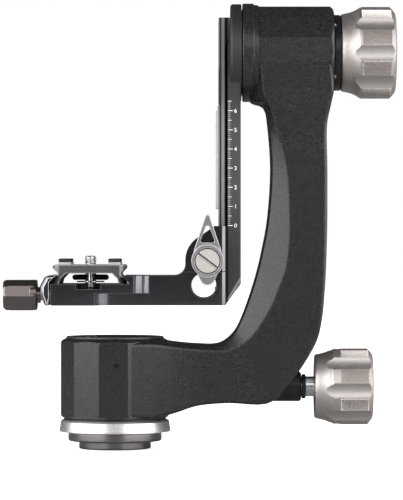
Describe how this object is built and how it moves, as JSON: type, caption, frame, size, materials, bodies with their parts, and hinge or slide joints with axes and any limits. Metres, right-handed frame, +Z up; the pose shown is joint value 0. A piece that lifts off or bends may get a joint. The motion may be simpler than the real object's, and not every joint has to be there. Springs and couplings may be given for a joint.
{
  "type": "gimbal tripod head",
  "caption": "Side-mount gimbal head: C-shaped yoke on a pan base, swinging dovetail rail, height-adjustable platform with a knob clamp and quick-release plate.",
  "frame": {"origin": "centre of the base's bottom face, at the mouth of the tripod thread", "axes": "+Z up along the pan axis; +X from the pan axis towards the yoke's arm and the two large knobs; the tilt axis runs along X at z = 209.1 mm; Y across the head"},
  "size_m": [0.2069, 0.063, 0.2351],
  "materials": {
    "yoke_coat": "matte charcoal powder coat with a fine speckle, on cast aluminium",
    "knob_silver": "warm satin anodised, knurled on the lands",
    "scale_silver": "bright satin anodised",
    "base_gunmetal": "gunmetal anodised",
    "rail_grey": "dark grey anodised with bright chamfers",
    "platform_black": "black anodised with bright edges",
    "plate_grey": "gunmetal anodised with bright chamfers",
    "lever_grey": "bead-blasted die casting",
    "lever_pin": "pale sand-blasted",
    "clamp_knob_brown": "dark warm gloss anodised",
    "steel": "ground steel",
    "screw_black": "black oxide",
    "chrome": "bright plated",
    "black_trim": "black satin",
    "black_plastic": "black nylon",
    "rubber_black": "black rubber",
    "bronze": "sintered bronze",
    "strip_silver": "satin clear anodised",
    "vial": "green bubble vial"
  },
  "bodies": {
    "base": {"base_plate": "base_gunmetal", "pan_scale_ring": "scale_silver", "base_screws": "screw_black", "pan_post": "steel", "post_nut": "steel", "pan_friction_ring": "black_plastic", "pan_bearing_inner_rings": "steel"},
    "yoke": {"pan_bearing_balls": "chrome", "pan_bearing_outer_rings": "steel", "yoke_arm": "yoke_coat", "boss_cap": "black_trim", "level_cup": "black_trim", "level_vial": "vial", "bearing_set_screw": "screw_black", "tilt_bearing_outer_rings": "steel", "tilt_bearing_balls": "chrome", "tilt_friction_washer": "black_plastic", "tilt_end_cover": "black_trim", "pan_lock_sleeve": "black_trim"},
    "pan_brake": {"pan_brake_shoe": "bronze"},
    "pan_knob": {"pan_lock_rod": "chrome", "pan_knob": "knob_silver", "pan_knob_washer": "rubber_black", "pan_knob_cap": "knob_silver"},
    "tilt_brake": {"tilt_brake_pad": "bronze"},
    "tilt_knob": {"tilt_stud": "steel", "tilt_knob": "knob_silver", "tilt_knob_cap": "knob_silver"},
    "cradle": {"swing_rail": "rail_grey", "tilt_shaft": "steel", "shaft_screws": "screw_black", "tilt_bearing_inner_rings": "steel", "shaft_circlip": "steel", "rail_rib": "strip_silver", "rail_upper_stop": "black_plastic", "rail_stop_screws": "screw_black"},
    "platform": {"platform_bracket": "platform_black", "rail_jaw_dowels": "steel", "jaw_springs": "steel"},
    "rail_jaw": {"rail_jaw": "platform_black"},
    "rail_lever": {"rail_lever": "lever_grey", "lever_screw": "lever_pin"},
    "clamp_jaw": {"clamp_jaw": "platform_black", "jaw_guide_pins": "steel"},
    "clamp_knob": {"clamp_knob": "clamp_knob_brown", "clamp_screw": "steel"},
    "plate": {"quick_release_plate": "plate_grey", "plate_pads": "rubber_black"},
    "camera_screw": {"camera_screw": "chrome", "screw_ring": "screw_black"}
  },
  "joints": [
    {"name": "pan", "type": "hinge", "parent": "base", "child": "yoke", "pos_m": [0, 0, 0.03], "axis": [0, 0, 1], "continuous": true},
    {"name": "pan_brake_slide", "type": "slide", "parent": "yoke", "child": "pan_brake", "axis": [1, 0, 0], "range_m": [0, 0.0019]},
    {"name": "pan_knob_turn", "type": "hinge", "parent": "pan_brake", "child": "pan_knob", "pos_m": [0.12, 0, 0.0327], "axis": [1, 0, 0], "range_deg": [0, 540]},
    {"name": "tilt", "type": "hinge", "parent": "yoke", "child": "cradle", "pos_m": [0.09, 0, 0.2091], "axis": [1, 0, 0], "continuous": true},
    {"name": "tilt_brake_slide", "type": "slide", "parent": "yoke", "child": "tilt_brake", "axis": [1, 0, 0], "range_m": [0, 0.0016]},
    {"name": "tilt_knob_turn", "type": "hinge", "parent": "tilt_brake", "child": "tilt_knob", "pos_m": [0.13, 0, 0.2091], "axis": [1, 0, 0], "range_deg": [0, 360]},
    {"name": "platform_slide", "type": "slide", "parent": "cradle", "child": "platform", "axis": [0, 0, 1], "range_m": [0, 0.063]},
    {"name": "rail_jaw_slide", "type": "slide", "parent": "platform", "child": "rail_jaw", "axis": [0, -1, 0], "range_m": [0, 0.00035]},
    {"name": "rail_lever_turn", "type": "hinge", "parent": "rail_jaw", "child": "rail_lever", "pos_m": [0.0489, -0.025, 0.0991], "axis": [0, -1, 0], "range_deg": [0, 120]},
    {"name": "clamp_jaw_slide", "type": "slide", "parent": "platform", "child": "clamp_jaw", "axis": [-1, 0, 0], "range_m": [0, 0.0031]},
    {"name": "clamp_knob_turn", "type": "hinge", "parent": "clamp_jaw", "child": "clamp_knob", "pos_m": [-0.05, 0, 0.081], "axis": [-1, 0, 0], "range_deg": [0, 1080]},
    {"name": "plate_slide", "type": "slide", "parent": "platform", "child": "plate", "axis": [0, 1, 0], "range_m": [-0.01, 0.01]},
    {"name": "camera_screw_turn", "type": "hinge", "parent": "plate", "child": "camera_screw", "pos_m": [-0.0129, 0, 0.095], "axis": [0, 0, 1], "continuous": true}
  ],
  "couplings": [
    {"joint": "pan_brake_slide", "follows": "pan_knob_turn", "m_per_rad": 0.00019894},
    {"joint": "tilt_brake_slide", "follows": "tilt_knob_turn", "m_per_rad": 0.00023873},
    {"joint": "rail_jaw_slide", "follows": "rail_lever_turn", "m_per_rad": 0.00015915},
    {"joint": "clamp_jaw_slide", "follows": "clamp_knob_turn", "m_per_rad": 0.00015915}
  ]
}
